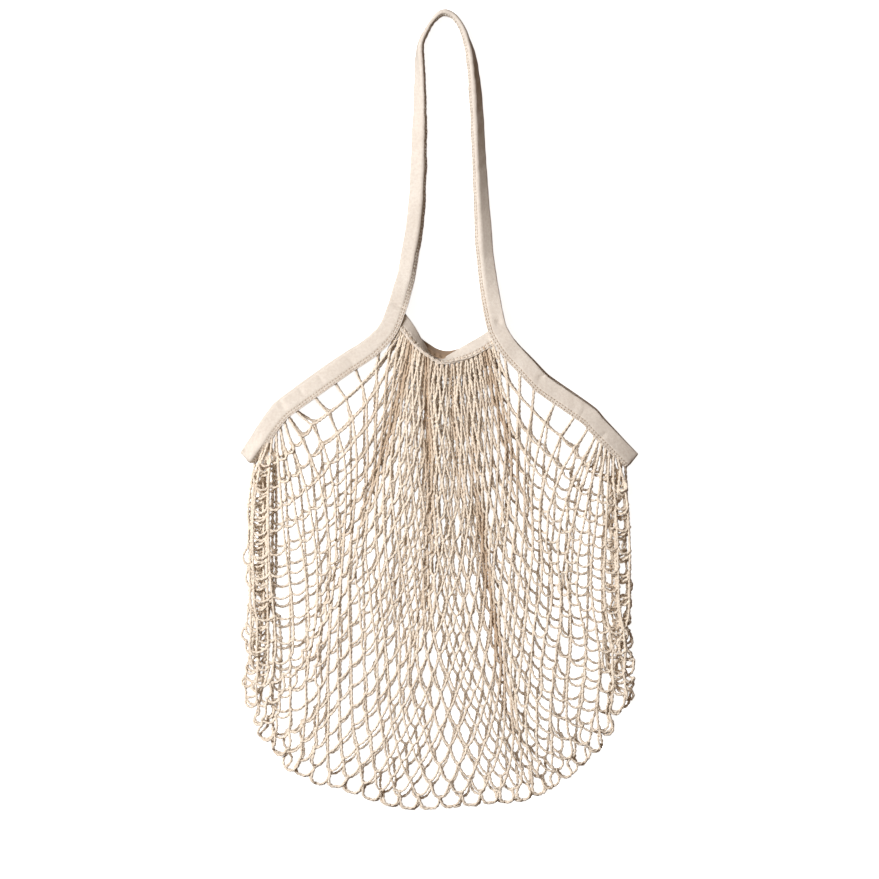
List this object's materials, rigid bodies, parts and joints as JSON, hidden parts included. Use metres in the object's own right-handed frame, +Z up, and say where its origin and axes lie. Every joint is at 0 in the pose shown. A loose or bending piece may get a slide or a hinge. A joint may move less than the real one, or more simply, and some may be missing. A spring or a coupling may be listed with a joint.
{
  "type": "mesh market bag",
  "caption": "Empty cotton string bag with one long folded-tape handle, gathered mouth and taped shoulders, lying flat on its back.",
  "frame": {"origin": "centre of the bag's plan outline, on the surface it lies on", "axes": "+X across the bag to the right of its front, +Y from the net's bottom to the top of the handle, +Z up out of the bag's front"},
  "size_m": [0.3672, 0.7372, 0.019],
  "materials": {
    "cotton_string": "matt natural knotted cotton string",
    "cotton_tape": "matt natural woven cotton tape"
  },
  "bodies": {
    "root": {"net": "cotton_string", "handle": "cotton_tape", "side_tape_left": "cotton_tape", "side_tape_right": "cotton_tape", "mouth_band_front": "cotton_tape", "mouth_band_back": "cotton_tape"}
  },
  "joints": []
}
